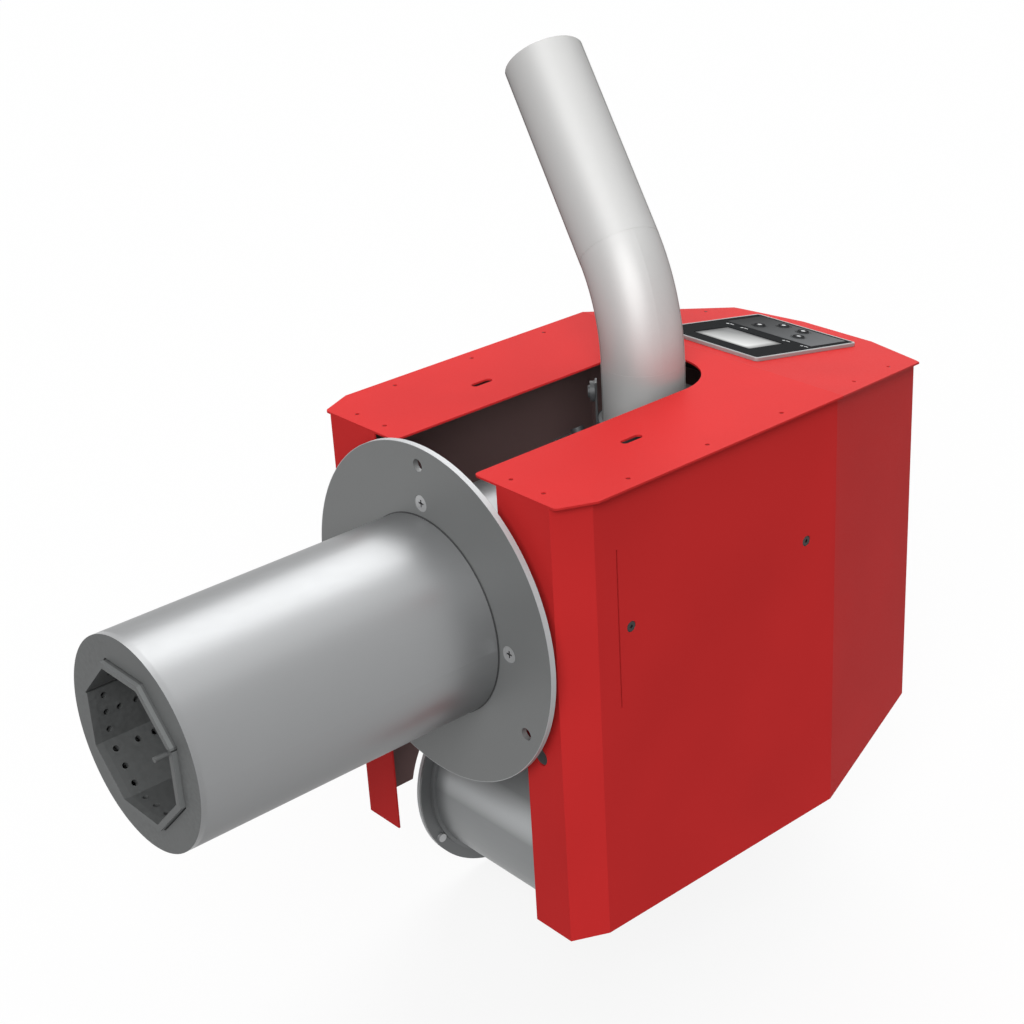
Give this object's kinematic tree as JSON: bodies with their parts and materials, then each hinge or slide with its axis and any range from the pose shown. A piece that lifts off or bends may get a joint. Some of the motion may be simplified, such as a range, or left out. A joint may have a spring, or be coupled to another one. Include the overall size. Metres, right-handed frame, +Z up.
{
  "type": "pellet burner",
  "caption": "Pellet burner with a flame tube, pull-out grate, round mounting flange, red sheet cover, leaning feed pipe, blower drum and control panel.",
  "frame": {"origin": "centre of the mounting flange's face towards the boiler", "axes": "-Y along the flame tube towards its mouth, +X to the right seen from behind the burner, +Z up"},
  "size_m": [0.289, 0.659, 0.6586],
  "materials": {
    "steel_satin": "satin steel",
    "steel_dark": "dark heat-stained steel",
    "steel_flange": "matte steel plate",
    "steel_pipe": "smooth pale steel",
    "red_paint": "satin red powder coat",
    "plain_steel": "galvanised sheet",
    "screw_steel": "zinc-plated",
    "black_plastic": "matte black",
    "panel_black": "glossy black",
    "panel_grey": "matte dark grey",
    "button_grey": "light grey",
    "display": "silvery display",
    "lamp": "clear lamp",
    "motor_grey": "dark grey enamel",
    "brass": "bush bronze",
    "ceramic": "off-white ceramic",
    "board_green": "circuit board"
  },
  "bodies": {
    "burner": {"burner_tube": "steel_satin", "tube_end_ring": "steel_dark", "grate_rails": "steel_dark", "tube_bulkhead": "steel_flange", "mounting_flange": "steel_flange", "front_ring": "steel_flange", "flange_screws": "screw_steel", "rear_body": "steel_satin", "rear_ring": "steel_flange", "back_plate": "steel_flange", "back_screws": "screw_steel", "feed_tube": "plain_steel", "screw_bush": "brass", "gearbox": "motor_grey", "feed_motor": "motor_grey", "inlet_socket": "plain_steel", "pipe_clamp": "screw_steel", "clamp_screw": "screw_steel", "pipe_sensor": "black_plastic", "igniter_tube": "plain_steel", "igniter": "ceramic", "sight_tube": "plain_steel", "flame_sensor": "black_plastic", "backfire_sensor": "screw_steel", "air_duct": "plain_steel", "blower_drum": "steel_satin", "blower_cover": "steel_flange", "blower_screws": "screw_steel", "blower_motor": "motor_grey", "intake_grille": "black_plastic", "right_panel": "red_paint", "left_panel": "red_paint", "top_cover": "red_paint", "rear_panel": "red_paint", "cover_brackets": "plain_steel", "side_screws": "screw_steel", "top_rivets": "red_paint", "panel_frame": "panel_black", "lcd_window": "display", "keypad": "panel_grey", "status_lamps": "lamp", "control_board": "board_green", "key_switches": "black_plastic", "control_tray": "black_plastic", "power_inlet": "black_plastic"},
    "feed_pipe": {"feed_pipe": "steel_pipe"},
    "grate_insert": {"grate_upper": "steel_dark", "grate_lower": "steel_dark", "grate_back": "steel_dark"},
    "feed_screw": {"feed_screw": "plain_steel"},
    "blower_wheel": {"impeller": "plain_steel"},
    "button_1": {"button_1": "button_grey"},
    "button_2": {"button_2": "button_grey"},
    "button_3": {"button_3": "button_grey"},
    "button_4": {"button_4": "button_grey"}
  },
  "joints": [
    {"name": "pipe_swivel", "type": "hinge", "parent": "burner", "child": "feed_pipe", "pos_m": [0, 0.206, 0.09], "axis": [0, 0, 1], "range_deg": [-150, 150]},
    {"name": "grate_pull_out", "type": "slide", "parent": "burner", "child": "grate_insert", "axis": [0, -1, 0], "range_m": [0, 0.24]},
    {"name": "feed_screw_spin", "type": "hinge", "parent": "burner", "child": "feed_screw", "pos_m": [0, 0.25, -0.012], "axis": [0, 1, 0], "continuous": true},
    {"name": "blower_spin", "type": "hinge", "parent": "burner", "child": "blower_wheel", "pos_m": [-0.05, 0.1512, -0.24], "axis": [1, 0, 0], "continuous": true},
    {"name": "button_1_press", "type": "slide", "parent": "burner", "child": "button_1", "axis": [0, -0.1736, -0.9848], "range_m": [0, 0.0008], "stiffness_N_per_m": 1200, "springref_m": -0.0004},
    {"name": "button_2_press", "type": "slide", "parent": "burner", "child": "button_2", "axis": [0, -0.1736, -0.9848], "range_m": [0, 0.0008], "stiffness_N_per_m": 1200, "springref_m": -0.0004},
    {"name": "button_3_press", "type": "slide", "parent": "burner", "child": "button_3", "axis": [0, -0.1736, -0.9848], "range_m": [0, 0.0008], "stiffness_N_per_m": 1200, "springref_m": -0.0004},
    {"name": "button_4_press", "type": "slide", "parent": "burner", "child": "button_4", "axis": [0, -0.1736, -0.9848], "range_m": [0, 0.0008], "stiffness_N_per_m": 1200, "springref_m": -0.0004}
  ]
}
